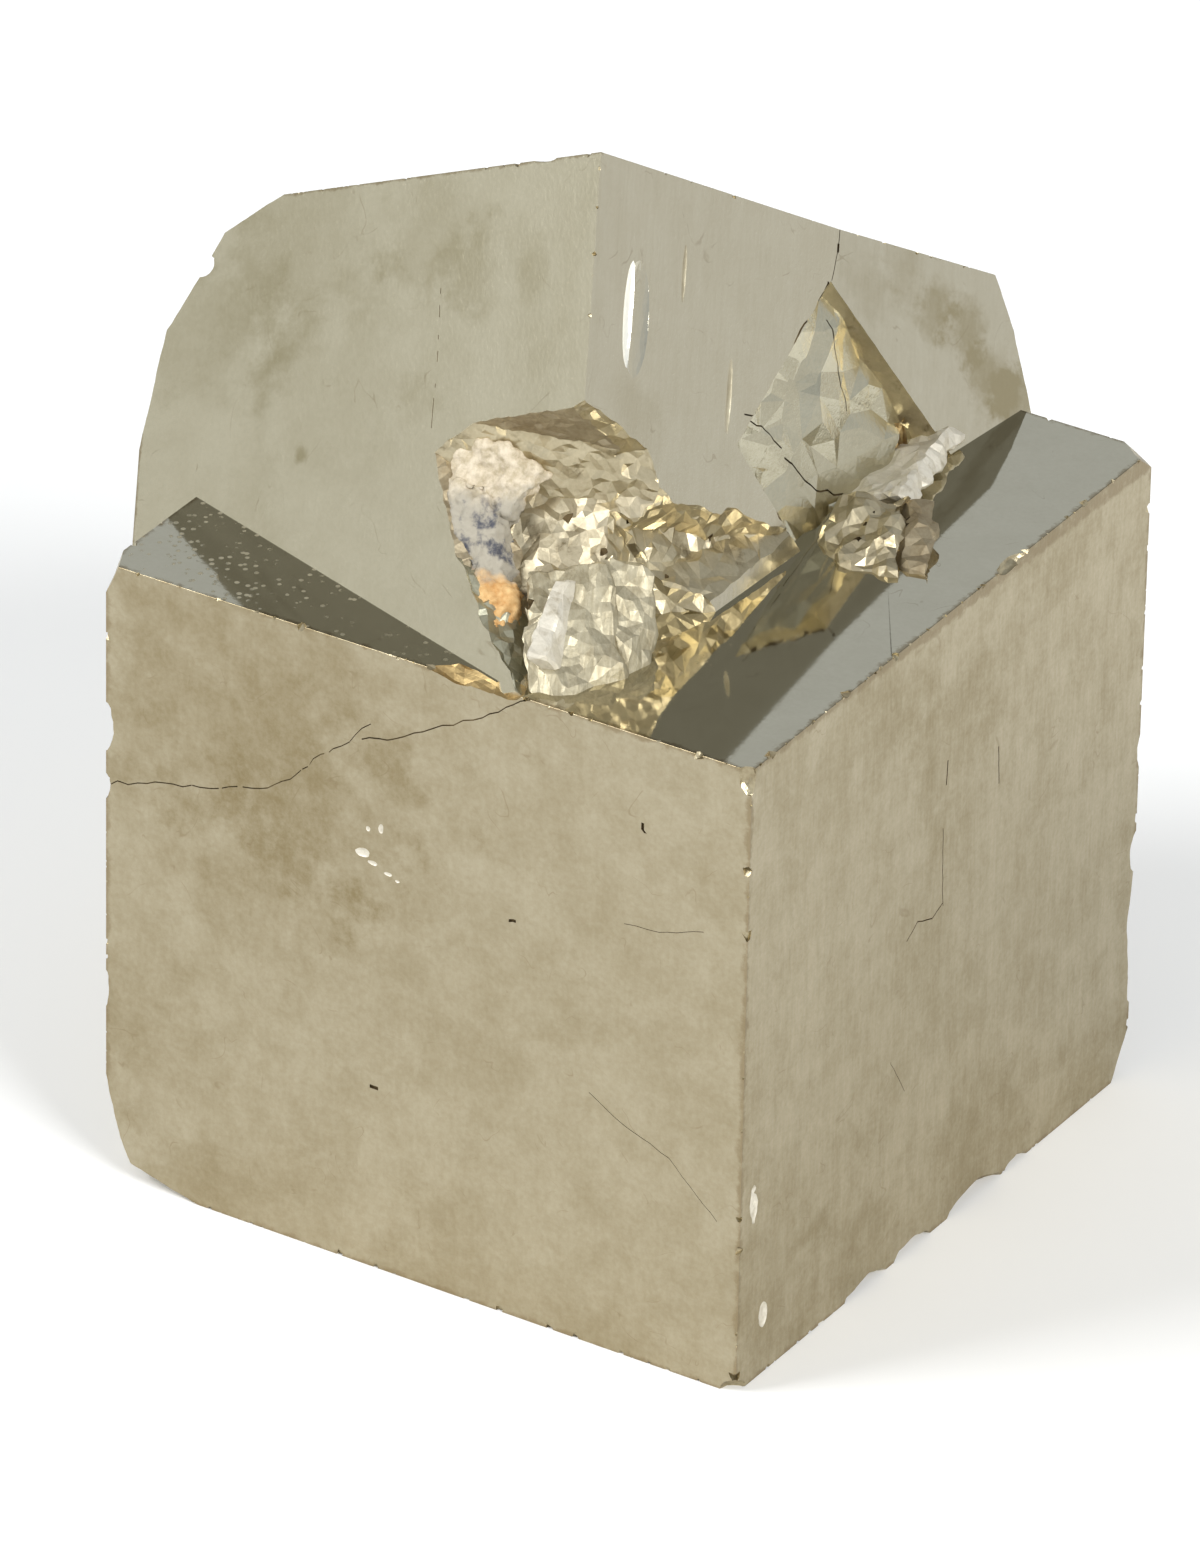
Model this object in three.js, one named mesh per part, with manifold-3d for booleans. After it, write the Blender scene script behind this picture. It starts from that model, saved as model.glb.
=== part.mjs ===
// Pyrite specimen: two cubes of iron pyrite grown through each other, a large upright one
// and one that leans back out of its top, with a lump of host rock in a broken hollow.
// Millimetres, +Z up, the origin in the middle of the base.

import * as THREE from 'three';
import * as BufferGeometryUtils from 'three/addons/utils/BufferGeometryUtils.js';
import { ConvexGeometry } from 'three/addons/geometries/ConvexGeometry.js';
import Module from 'manifold-3d';

// The upright cube: its front edge stands on the crystal origin, and it runs to -X and +Y.
const CUBE_WIDTH = 45;
const CUBE_DEPTH = 45.3;
const CUBE_FRONT_HEIGHT = 42.2;
const CUBE_BACK_HEIGHT = 43.2;

// The leaning cube: where its top front corner is, and how it is turned.
const LEANING_CORNER = new THREE.Vector3(-22.5, 18.3, 68.1);
const LEANING_TURN_DEGREES = { x: -33.5, y: -23.4, z: -2.9 };
const LEANING_WIDTH = 35.4;
const LEANING_DEPTH = 39.6;
const LEANING_HEIGHT = 36;
// Its right face is two growth faces that meet at a shallow angle along one line.
const GROWTH_LINE_AT = 21.7;
const GROWTH_STEP_OUT = 1.16;

// Where the middle of the base lies, measured from the upright cube's front edge.
const BASE_MIDDLE_X = -25.74;
const BASE_MIDDLE_Y = 26.24;

// The host rock stands clear of the fracture it is lodged in by this much.
const ROCK_GAP = 0.3;

const wasm = await Module();
wasm.setup();

function solidFrom(geometry) {
  const bare = geometry.clone();
  bare.deleteAttribute('normal');
  bare.deleteAttribute('uv');
  const merged = BufferGeometryUtils.mergeVertices(bare, 1e-4);
  const mesh = new wasm.Mesh({
    numProp: 3,
    vertProperties: Float32Array.from(merged.attributes.position.array),
    triVerts: Uint32Array.from(merged.index.array),
  });
  return new wasm.Manifold(mesh);
}

function geometryFrom(solid) {
  const mesh = solid.getMesh();
  const geometry = new THREE.BufferGeometry();
  geometry.setAttribute('position', new THREE.BufferAttribute(mesh.vertProperties, 3));
  geometry.setIndex(new THREE.BufferAttribute(mesh.triVerts, 1));
  geometry.computeVertexNormals();
  return geometry;
}

function boxBetween(low, high) {
  const box = new THREE.BoxGeometry(high[0] - low[0], high[1] - low[1], high[2] - low[2]);
  box.translate((low[0] + high[0]) / 2, (low[1] + high[1]) / 2, (low[2] + high[2]) / 2);
  return box;
}

// The smallest flat-sided block that holds all the points.
function shardAround(points) {
  return new ConvexGeometry(points.map((p) => new THREE.Vector3(...p)));
}

// Breaks a corner off flat through three points. The heart is any point deep in the solid.
function breakOff(solid, corner, heart) {
  const [a, b, c] = corner.map((p) => new THREE.Vector3(...p));
  const fracture = new THREE.Plane().setFromCoplanarPoints(a, b, c);
  if (fracture.distanceToPoint(heart) > 0) {
    fracture.negate();
  }
  const outward = fracture.normal;
  const reach = 24;
  const waste = new THREE.BoxGeometry(reach, reach, reach);
  waste.applyQuaternion(
    new THREE.Quaternion().setFromUnitVectors(new THREE.Vector3(0, 0, 1), outward),
  );
  const middle = a.clone().add(b).add(c).divideScalar(3);
  waste.translate(...middle.addScaledVector(outward, reach / 2).toArray());
  return solid.subtract(solidFrom(waste));
}

// The upright cube, extruded from its side, whose top rises slightly to the back.
const side = new THREE.Shape([
  new THREE.Vector2(0, 0),
  new THREE.Vector2(CUBE_DEPTH, 0),
  new THREE.Vector2(CUBE_DEPTH, CUBE_BACK_HEIGHT),
  new THREE.Vector2(0, CUBE_FRONT_HEIGHT),
]);
const uprightGeometry = new THREE.ExtrudeGeometry(side, {
  depth: CUBE_WIDTH,
  bevelEnabled: false,
});
uprightGeometry.rotateX(Math.PI / 2);
uprightGeometry.rotateZ(Math.PI / 2);
uprightGeometry.translate(-CUBE_WIDTH, 0, 0);
let upright = solidFrom(uprightGeometry);

// Chips and worn corners of the upright cube: the top left corner, the lower left corner in
// two steps, the lower right corner, two bites out of the lower right edge, and the back.
const uprightChips = [
  [[-45, 1.9, 42.3], [-45, 0, 40.2], [-44.1, 0, 42.3]],
  [[-45, 0, 4.4], [-45, 4, 0], [-42.6, 0, 0]],
  [[-45, 0, 1.7], [-45, 3, 0], [-38.8, 0, 0]],
  [[0, 45.3, 3], [0, 43.4, 0], [-2.5, 45.3, 0]],
  [[0, 45.3, 42.1], [0, 43.9, 43.2], [-1.8, 45.3, 43.2]],
  [[-45, 45.3, 5], [-42, 45.3, 0], [-45, 41.5, 0]],
];
const uprightHeart = new THREE.Vector3(-CUBE_WIDTH / 2, CUBE_DEPTH / 2, CUBE_FRONT_HEIGHT / 2);
for (const corner of uprightChips) {
  upright = breakOff(upright, corner, uprightHeart);
}
const edgeBites = [
  [[1, 13, -1], [1, 22, -1], [1, 15, 0.8], [1, 20, 0.6], [-1.4, 14, -1], [-1.4, 21, -1]],
  [[1, 22, -1], [1, 31, -1], [1, 24, 1], [1, 29, 0.7], [-1.8, 24, -1], [-1.8, 29, -1]],
];
for (const bite of edgeBites) {
  upright = upright.subtract(solidFrom(shardAround(bite)));
}

// The leaning cube, in a frame of its own: the origin is its top front corner, X points out
// of its right face, Y runs back along that face, and Z points out of its top face.
const plan = new THREE.Shape([
  new THREE.Vector2(0, 0),
  new THREE.Vector2(0, GROWTH_LINE_AT),
  new THREE.Vector2(GROWTH_STEP_OUT, LEANING_DEPTH),
  new THREE.Vector2(-LEANING_WIDTH, LEANING_DEPTH),
  new THREE.Vector2(-LEANING_WIDTH, 0),
]);
const leaningGeometry = new THREE.ExtrudeGeometry(plan, {
  depth: LEANING_HEIGHT,
  bevelEnabled: false,
});
leaningGeometry.translate(0, 0, -LEANING_HEIGHT);
let leaning = solidFrom(leaningGeometry);

// Its broken corners: the top left one in three steps, the top right one in two.
const leaningChips = [
  [[-25.4, 0, 0], [-29.8, 0, -1.9], [-33, 9, 0]],
  [[-29.8, 0, -2], [-33.9, 0, -7.4], [-35.4, 10, -2]],
  [[-33.9, 0, -7.4], [-35.2, 0, -13.4], [-35.4, 8, -8]],
  [[1.2, 35.9, 0], [1.2, 37.2, -3.1], [-7, 39.6, 0]],
  [[1.2, 37, -2.8], [1.2, 39.6, -6.9], [-5, 39.6, -2]],
];
const leaningHeart = new THREE.Vector3(-LEANING_WIDTH / 2, LEANING_DEPTH / 2, -LEANING_HEIGHT / 2);
for (const corner of leaningChips) {
  leaning = breakOff(leaning, corner, leaningHeart);
}

// The hollow broken out of its front edge where the two cubes meet: a deep bite, a long
// shallow bite to the right, and the small scoops between them.
const hollowBites = [
  [
    [-12.1, -0.3, -15.5], [1, -0.5, -15.2], [1, 1.5, -15], [0.6, 4.8, -16.3],
    [-9.6, 2.4, -18.6], [-4.2, 5.2, -18.8], [-0.6, 6.8, -19.4], [-6.4, 3.2, -24.6],
    [-2.4, 5.2, -23.6], [-5.4, 0.8, -31], [-2.6, 3.4, -31], [-0.6, 6.9, -29],
    [-5.5, -0.5, -29], [-4, -1, -38], [1, -1, -38], [0.6, 6.6, -33],
    [0.6, 7.5, -19.8], [0.6, 7.3, -29],
  ],
  [
    [0.6, 6.6, -19.7], [0.6, 16.9, -19.2], [0.6, 17.4, -20.2], [0.6, 11.4, -24],
    [0.6, 6.8, -30.4], [-2.8, 7.6, -21.8], [-1.5, 12.6, -21.2], [-2.3, 7.6, -26],
    [-1.4, 5.6, -30.8], [0.6, 5, -31],
  ],
  [
    [0.8, 3.4, -16], [0.8, 8, -18.8], [-1.8, 6.4, -17.8], [-3.8, 7.2, -21], [-2.6, 7.4, -25],
    [0.8, 9, -23],
  ],
  [[-12.1, -0.5, -15.5], [-6, -0.5, -15.2], [-11.2, 2.2, -17], [-8.6, 3, -21], [-7.6, -0.5, -25.6]],
];
for (const bite of hollowBites) {
  leaning = leaning.subtract(solidFrom(shardAround(bite)));
}

// The four-cornered scar on the right face, where a third small crystal broke away. Its floor
// starts level with the face on the left and lies deepest along the upper right wall.
const scar = shardAround([
  [0, 21.2, -3.2], [-0.9, 22, -4.6], [-1.2, 28.6, -9.6], [-0.9, 32.4, -11], [-0.1, 13.6, -14.8],
  [-0.3, 20, -20], [-0.8, 27, -22], [3, 21.2, -3.2], [3, 28.7, -9], [3, 33.6, -10.5],
  [3, 27, -22], [3, 20, -20], [3, 13.6, -14.8],
]);
leaning = leaning.subtract(solidFrom(scar));

// The stump of that third crystal between the scar and the upright cube's top: two chunks
// side by side, and a thin blade that runs up from them along the edge of the scar.
const stumpShards = [
  [
    [3, 20.4, -20.9], [1, 22.4, -16.2], [3.6, 25.2, -16], [5.2, 22.4, -18.8],
    [6.4, 21.9, -21.2], [-2, 20.6, -22], [-2, 27, -16], [2, 24, -27],
  ],
  [
    [3.8, 25.2, -16.2], [4.8, 26.9, -15.6], [7.8, 22.8, -21.6], [5.8, 22.4, -20.4],
    [-2, 27, -16], [-2, 30, -18], [2, 24, -27], [3, 28, -24],
  ],
  [
    [0.7, 32.4, -9.3], [1, 33.4, -10.4], [3.6, 26, -16.6], [3.2, 24.5, -15.8],
    [-1.5, 32, -9.8], [-1.5, 33, -11], [-1.5, 26.5, -16.8], [-1.5, 25, -15.5],
  ],
];
for (const shard of stumpShards) {
  leaning = leaning.add(solidFrom(shardAround(shard)));
}

const toSpecimen = new THREE.Object3D();
toSpecimen.position.copy(LEANING_CORNER);
toSpecimen.rotation.set(
  THREE.MathUtils.degToRad(LEANING_TURN_DEGREES.x),
  THREE.MathUtils.degToRad(LEANING_TURN_DEGREES.y),
  THREE.MathUtils.degToRad(LEANING_TURN_DEGREES.z),
  'ZYX',
);
toSpecimen.updateMatrix();

function leaned(solid) {
  const geometry = geometryFrom(solid);
  geometry.applyMatrix4(toSpecimen.matrix);
  return solidFrom(geometry);
}

// The upright cube has grown over the leaning one at the front and on the right, so nothing
// of the leaning cube stands out there.
const behindFrontFaces = solidFrom(boxBetween([-90, 0.4, 0.4], [-0.4, 90, 90]));
const crystals = upright.add(leaned(leaning).intersect(behindFrontFaces));

const pyriteCrystals = new THREE.Mesh(
  geometryFrom(crystals),
  new THREE.MeshStandardMaterial({
    color: 0xb8ad8c,
    roughness: 0.3,
    metalness: 1,
    flatShading: true,
  }),
);
pyriteCrystals.name = 'pyrite_crystals';

// The host rock: a tapering lump in the left half of the hollow, wide at the top. Its three
// shards reach past the floor of the hollow, and are cut back to it.
const rockShards = [
  [
    [-11.3, 0.2, -16.1], [-9.2, 0.1, -15.9], [-7.2, 0.9, -16.2], [-5.4, 2.2, -17], [-5.4, 2.7, -18.3],
    [-6, 2, -20.2], [-7, 1.3, -21.3], [-9.9, 0.2, -20.4], [-8, 8, -17], [-5, 8, -18], [-8, 8, -21],
  ],
  [
    [-10.4, 0.2, -18.6], [-8, 0.8, -18.6], [-6.9, 1.2, -21.4], [-6.7, 1.3, -23.8], [-7.4, 0.6, -25.6],
    [-8.9, 0.2, -22.6], [-8, 8, -20], [-6, 8, -25],
  ],
  [
    [-8, 0.2, -24.4], [-7.4, 0.2, -25.5], [-5.9, 0.5, -28], [-5.9, 1.5, -25.6], [-6.6, 1.4, -24.2],
    [-5, 8, -25], [-5, 8, -28],
  ],
];
let rock = solidFrom(shardAround(rockShards[0]));
for (const shard of rockShards.slice(1)) {
  rock = rock.add(solidFrom(shardAround(shard)));
}
const hollow = solidFrom(shardAround(hollowBites[0]).translate(ROCK_GAP / 2, -ROCK_GAP, 0));
rock = leaned(rock.intersect(hollow));

const matrixRemnant = new THREE.Mesh(
  geometryFrom(rock),
  new THREE.MeshStandardMaterial({
    color: 0xd9ccb5,
    roughness: 0.95,
    metalness: 0,
    flatShading: true,
  }),
);
matrixRemnant.name = 'matrix_remnant';

const specimen = new THREE.Group();
specimen.position.set(-BASE_MIDDLE_X, -BASE_MIDDLE_Y, 0);
specimen.add(pyriteCrystals, matrixRemnant);

export default specimen;
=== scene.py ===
import math
import random

import bpy
from mathutils import Matrix, Vector


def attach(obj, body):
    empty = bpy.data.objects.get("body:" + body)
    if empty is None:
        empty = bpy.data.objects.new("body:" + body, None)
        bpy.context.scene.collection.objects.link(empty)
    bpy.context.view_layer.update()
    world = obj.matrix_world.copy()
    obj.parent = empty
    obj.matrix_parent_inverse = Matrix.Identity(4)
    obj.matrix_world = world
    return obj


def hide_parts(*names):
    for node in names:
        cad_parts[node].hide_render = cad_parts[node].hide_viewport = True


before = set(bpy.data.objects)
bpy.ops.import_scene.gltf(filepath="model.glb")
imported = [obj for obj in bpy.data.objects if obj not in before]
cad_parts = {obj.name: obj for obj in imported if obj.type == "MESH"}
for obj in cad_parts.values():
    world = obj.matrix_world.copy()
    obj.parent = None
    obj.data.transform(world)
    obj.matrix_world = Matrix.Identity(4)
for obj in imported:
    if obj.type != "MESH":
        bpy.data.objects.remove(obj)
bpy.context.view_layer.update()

mm = 0.001

# The upright cube is a single crystal of iron pyrite with a 45 mm edge, natural and never
# cut. It stands on its lower face with its front edge towards the camera, and its top face
# rises slightly to the back. The base of the whole specimen is centred on the CAD origin.
FRONT_EDGE = Vector((25.74, -26.24, 0)) * mm
CUBE_WIDTH = 45 * mm
CUBE_DEPTH = 45.28 * mm
TOP_AT_FRONT_EDGE = 42.26 * mm
TOP_AT_LEFT_CORNER = 42.07 * mm
TOP_AT_RIGHT_CORNER = 43.27 * mm
TOP_AT_BACK_CORNER = 43.08 * mm


def alone(piece):
    """Leaves only this piece selected and active."""
    bpy.ops.object.select_all(action="DESELECT")
    piece.select_set(True)
    bpy.context.view_layer.objects.active = piece


def settle(piece):
    """Puts the piece's place, turn and size into its mesh."""
    alone(piece)
    bpy.ops.object.transform_apply(location=True, rotation=True, scale=True)


def pick(piece, test, kind="VERT"):
    """Goes into edit mode with only the corners or faces selected that pass the test."""
    alone(piece)
    bpy.ops.object.mode_set(mode="EDIT")
    bpy.ops.mesh.select_mode(type=kind)
    bpy.ops.mesh.select_all(action="DESELECT")
    bpy.ops.object.mode_set(mode="OBJECT")
    parts = piece.data.vertices if kind == "VERT" else piece.data.polygons
    for part in parts:
        part.select = test(part)
    bpy.ops.object.mode_set(mode="EDIT")


def block(name, low, high):
    """A plain block between two opposite corners, to be shaped further."""
    low, high = Vector(low), Vector(high)
    bpy.ops.object.select_all(action="DESELECT")
    bpy.ops.mesh.primitive_cube_add(size=1, location=(low + high) / 2, scale=high - low)
    piece = bpy.context.active_object
    piece.name = name
    settle(piece)
    return piece


def finish_as(piece, material, test=None):
    """Gives the faces that pass the test a material, or all of them."""
    names = [m.name for m in piece.data.materials]
    if material.name not in names:
        piece.data.materials.append(material)
        names.append(material.name)
    for face in piece.data.polygons:
        if test is None or test(face):
            face.material_index = names.index(material.name)


def add_node(tree, kind, inputs=None, **settings):
    """A node with its settings, and with values or links on its inputs."""
    node = tree.nodes.new(kind)
    for name, value in settings.items():
        setattr(node, name, value)
    for name, value in (inputs or {}).items():
        if isinstance(value, bpy.types.NodeSocket):
            tree.links.new(value, node.inputs[name])
        else:
            node.inputs[name].default_value = value
    return node


def maths(tree, operation, first, second=0.0):
    """A Math node's result."""
    return add_node(
        tree, "ShaderNodeMath", {0: first, 1: second}, operation=operation, use_clamp=False
    ).outputs[0]


def between(tree, value, low, high, to_low=0.0, to_high=1.0):
    """A value brought smoothly from one range to another."""
    node = add_node(
        tree,
        "ShaderNodeMapRange",
        {"Value": value, "From Min": low, "From Max": high, "To Min": to_low, "To Max": to_high},
        interpolation_type="SMOOTHSTEP",
    )
    return node.outputs["Result"]


def blended(tree, amount, first, second):
    """One colour laid over another by an amount."""
    node = add_node(tree, "ShaderNodeMix", {0: amount}, data_type="RGBA")
    for place, colour in ((6, first), (7, second)):
        if isinstance(colour, bpy.types.NodeSocket):
            tree.links.new(colour, node.inputs[place])
        else:
            node.inputs[place].default_value = (*colour, 1)
    return node.outputs[2]


def cloudy(tree, vector, scale, detail=4.0, roughness=0.55, distortion=0.0):
    """Soft natural variation, from 0 to 1."""
    node = add_node(
        tree,
        "ShaderNodeTexNoise",
        {
            "Vector": vector,
            "Scale": scale,
            "Detail": detail,
            "Roughness": roughness,
            "Distortion": distortion,
        },
    )
    return node.outputs["Fac"]


def group_with(name, inputs, outputs):
    """An empty shader node group with named sockets, and its two end nodes."""
    tree = bpy.data.node_groups.new(name, "ShaderNodeTree")
    for label, kind, value in inputs:
        socket = tree.interface.new_socket(label, in_out="INPUT", socket_type=kind)
        if value is not None:
            socket.default_value = value
    for label, kind in outputs:
        tree.interface.new_socket(label, in_out="OUTPUT", socket_type=kind)
    return tree, tree.nodes.new("NodeGroupInput"), tree.nodes.new("NodeGroupOutput")


# Weathering and shade: brown iron stain in broad patches, smudges of a few millimetres, and a fine grain.
# On the bright and mixed fractures, the fine dark patches are also painted shade for the crevices between
# facets.
weathering, given, made = group_with(
    "weathering",
    [
        ("Vector", "NodeSocketVector", None),
        ("Patch Scale", "NodeSocketFloat", 80.0),
        ("Cover", "NodeSocketFloat", 0.5),
    ],
    [("Patches", "NodeSocketFloat"), ("Smudges", "NodeSocketFloat"), ("Grain", "NodeSocketFloat")],
)
vector = given.outputs["Vector"]
broad = cloudy(weathering, vector, given.outputs["Patch Scale"], 9.0, 0.66, 0.35)
edge = maths(weathering, "SUBTRACT", 1.0, given.outputs["Cover"])
patches = between(weathering, broad, edge, maths(weathering, "ADD", edge, 0.3))
smudges = between(weathering, cloudy(weathering, vector, 330.0, 6.0, 0.68, 0.3), 0.28, 0.72)
grain = between(weathering, cloudy(weathering, vector, 3300.0, 3.0, 0.6), 0.28, 0.72)
weathering.links.new(patches, made.inputs["Patches"])
weathering.links.new(smudges, made.inputs["Smudges"])
weathering.links.new(grain, made.inputs["Grain"])

# Growth lines: the fine parallel lines that pyrite faces carry, drawn out along Z of the
# vector that comes in, with a few broader streaks between them.
growth_lines, given, made = group_with(
    "growth_lines",
    [
        ("Vector", "NodeSocketVector", None),
        ("Across", "NodeSocketFloat", 4200.0),
        ("Along", "NodeSocketFloat", 420.0),
    ],
    [("Lines", "NodeSocketFloat"), ("Streaks", "NodeSocketFloat")],
)
parts = add_node(growth_lines, "ShaderNodeSeparateXYZ", {0: given.outputs["Vector"]})
stretched = add_node(
    growth_lines,
    "ShaderNodeCombineXYZ",
    {
        0: maths(growth_lines, "MULTIPLY", parts.outputs[0], given.outputs["Across"]),
        1: maths(growth_lines, "MULTIPLY", parts.outputs[1], given.outputs["Across"]),
        2: maths(growth_lines, "MULTIPLY", parts.outputs[2], given.outputs["Along"]),
    },
)
broader = add_node(
    growth_lines, "ShaderNodeVectorMath", {0: stretched.outputs[0], 1: (0.22, 0.22, 0.3)},
    operation="MULTIPLY",
)
lines = between(growth_lines, cloudy(growth_lines, stretched.outputs[0], 1.0, 2.0, 0.5), 0.3, 0.7)
streaks = between(growth_lines, cloudy(growth_lines, broader.outputs[0], 1.0, 5.0, 0.7), 0.3, 0.7)
growth_lines.links.new(lines, made.inputs["Lines"])
growth_lines.links.new(streaks, made.inputs["Streaks"])

# Scratches: hair-thin wandering lines, broken off here and there.
scratches, given, made = group_with(
    "scratches",
    [("Vector", "NodeSocketVector", None), ("Scale", "NodeSocketFloat", 150.0)],
    [("Scratches", "NodeSocketFloat")],
)
vector = given.outputs["Vector"]
folds = cloudy(scratches, vector, given.outputs["Scale"], 2.5, 0.5, 1.2)
beside = maths(scratches, "ABSOLUTE", maths(scratches, "SUBTRACT", folds, 0.5))
gaps = between(scratches, cloudy(scratches, vector, 420.0, 3.0), 0.52, 0.62)
thin = between(scratches, beside, 0.0055, 0.001)
scratches.links.new(maths(scratches, "MULTIPLY", thin, gaps), made.inputs["Scratches"])

# Specks: tiny dull points, thrown together in clouds.
specks, given, made = group_with(
    "specks",
    [("Vector", "NodeSocketVector", None), ("Scale", "NodeSocketFloat", 1700.0)],
    [("Specks", "NodeSocketFloat")],
)
vector = given.outputs["Vector"]
points = add_node(
    specks, "ShaderNodeTexVoronoi", {"Vector": vector, "Scale": given.outputs["Scale"]}
).outputs["Distance"]
points = between(specks, points, 0.34, 0.20)
clusters = between(specks, cloudy(specks, vector, 330.0, 4.0, 0.7), 0.44, 0.52)
specks.links.new(maths(specks, "MULTIPLY", points, clusters), made.inputs["Specks"])

# Edge wear: how near a point on a block is to one of its edges, made ragged. Low and High
# are the opposite corners of the block. The middle one of the three distances to its faces
# is the distance to the nearest edge.
edge_wear, given, made = group_with(
    "edge_wear",
    [
        ("Vector", "NodeSocketVector", None),
        ("Low", "NodeSocketVector", None),
        ("High", "NodeSocketVector", None),
        ("Width", "NodeSocketFloat", 0.0005),
    ],
    [("Wear", "NodeSocketFloat")],
)
vector = given.outputs["Vector"]
above = add_node(
    edge_wear, "ShaderNodeVectorMath", {0: vector, 1: given.outputs["Low"]}, operation="SUBTRACT"
)
below = add_node(
    edge_wear, "ShaderNodeVectorMath", {0: given.outputs["High"], 1: vector}, operation="SUBTRACT"
)
nearest = add_node(
    edge_wear, "ShaderNodeVectorMath", {0: above.outputs[0], 1: below.outputs[0]},
    operation="MINIMUM",
)
x, y, z = add_node(edge_wear, "ShaderNodeSeparateXYZ", {0: nearest.outputs[0]}).outputs
smaller = maths(edge_wear, "MINIMUM", x, y)
larger = maths(edge_wear, "MAXIMUM", x, y)
middle = maths(edge_wear, "MAXIMUM", smaller, maths(edge_wear, "MINIMUM", larger, z))
ragged = maths(edge_wear, "SUBTRACT", cloudy(edge_wear, vector, 900.0, 5.0, 0.7), 0.5)
ragged = maths(edge_wear, "MULTIPLY", ragged, maths(edge_wear, "MULTIPLY", given.outputs["Width"], 4.0))
wear = between(edge_wear, maths(edge_wear, "ADD", middle, ragged), given.outputs["Width"], 0.0)
edge_wear.links.new(wear, made.inputs["Wear"])

# Stain and shade spot: a smudge around a point, with a ragged edge. It marks real stains, and on the
# leaning right face it also marks painted shade.
stain_spot, given, made = group_with(
    "stain_spot",
    [
        ("Vector", "NodeSocketVector", None),
        ("Centre", "NodeSocketVector", None),
        ("Radius", "NodeSocketFloat", 0.005),
    ],
    [("Spot", "NodeSocketFloat")],
)
vector = given.outputs["Vector"]
away = add_node(
    stain_spot, "ShaderNodeVectorMath", {0: vector, 1: given.outputs["Centre"]},
    operation="DISTANCE",
).outputs["Value"]
ragged = maths(stain_spot, "SUBTRACT", cloudy(stain_spot, vector, 260.0, 7.0, 0.68), 0.5)
ragged = maths(stain_spot, "MULTIPLY", ragged, maths(stain_spot, "MULTIPLY", given.outputs["Radius"], 2.6))
spot = between(
    stain_spot, maths(stain_spot, "ADD", away, ragged), given.outputs["Radius"],
    maths(stain_spot, "MULTIPLY", given.outputs["Radius"], 0.25),
)
stain_spot.links.new(spot, made.inputs["Spot"])


def pyrite_face(
    name, clean, stained, gloss,
    cover=0.4, patch_scale=80.0, patches=0.6, smudges=0.4, streaks=0.0, scratched=0.0,
    relief=1.0, metal=1.0, turned=None, block=None, spots=(), worn=(0.27, 0.21, 0.12),
    specked=None, dulling=0.12,
):
    """A natural pyrite face. Its colour runs from clean to stained as the stain builds up; on some faces
    and fractures the darker colour, patches and spots are painted shade as well.
    """
    material = bpy.data.materials.new(name)
    material.use_nodes = True
    tree = material.node_tree
    shader = tree.nodes["Principled BSDF"]
    shader.inputs["Metallic"].default_value = metal
    place = tree.nodes.new("ShaderNodeTexCoord").outputs["Object"]
    if turned is not None:
        at, turn = turned
        place = add_node(
            tree, "ShaderNodeMapping", {"Vector": place, "Location": at, "Rotation": turn},
            vector_type="TEXTURE",
        ).outputs[0]

    def effect(group, **inputs):
        node = add_node(tree, "ShaderNodeGroup", node_tree=group)
        tree.links.new(place, node.inputs["Vector"])
        for label, value in inputs.items():
            node.inputs[label.replace("_", " ")].default_value = value
        return node.outputs

    soil_and_shade = effect(weathering, Patch_Scale=patch_scale, Cover=cover)
    lined = effect(growth_lines)
    amount = maths(tree, "MULTIPLY", soil_and_shade["Patches"], patches)
    for layer, strength in (
        (soil_and_shade["Smudges"], smudges),
        (soil_and_shade["Grain"], 0.5 * smudges),
        (lined["Streaks"], streaks),
        (lined["Lines"], 0.6 * streaks),
    ):
        if strength > 0:
            amount = maths(tree, "ADD", amount, maths(tree, "MULTIPLY", layer, strength))
    for centre, radius, strength in spots:
        spot = effect(stain_spot, Centre=Vector(centre) * mm, Radius=radius * mm)["Spot"]
        amount = maths(tree, "ADD", amount, maths(tree, "MULTIPLY", spot, strength))
    colour = blended(tree, amount, clean, stained)
    if block is not None:
        low, high, width = block
        edges = effect(edge_wear, Low=Vector(low), High=Vector(high), Width=width * mm)["Wear"]
        colour = blended(tree, maths(tree, "MULTIPLY", edges, 0.75), colour, worn)
    if scratched > 0:
        cut = effect(scratches)["Scratches"]
        colour = blended(tree, maths(tree, "MULTIPLY", cut, scratched), colour, worn)
    tree.links.new(colour, shader.inputs["Base Color"])
    rough = between(tree, amount, 0.0, 1.0, gloss, gloss + dulling)
    if specked is not None:
        centre, radius, strength = specked
        cloud = effect(stain_spot, Centre=Vector(centre) * mm, Radius=radius * mm)["Spot"]
        dust = maths(tree, "MULTIPLY", effect(specks)["Specks"], cloud)
        rough = maths(tree, "ADD", rough, maths(tree, "MULTIPLY", dust, strength))
    tree.links.new(rough, shader.inputs["Roughness"])
    height = maths(tree, "ADD", soil_and_shade["Grain"], maths(tree, "MULTIPLY", soil_and_shade["Smudges"], 0.6))
    height = maths(tree, "ADD", height, maths(tree, "MULTIPLY", lined["Lines"], 4 * streaks))
    bump = add_node(
        tree, "ShaderNodeBump", {"Height": height, "Distance": 0.008 * mm, "Strength": relief}
    )
    tree.links.new(bump.outputs[0], shader.inputs["Normal"])
    return material


def on_cube(x, y, z):
    """A point of the upright cube, given from its front bottom corner in millimetres."""
    return tuple(Vector((x, y, z)) + FRONT_EDGE / mm)


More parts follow.
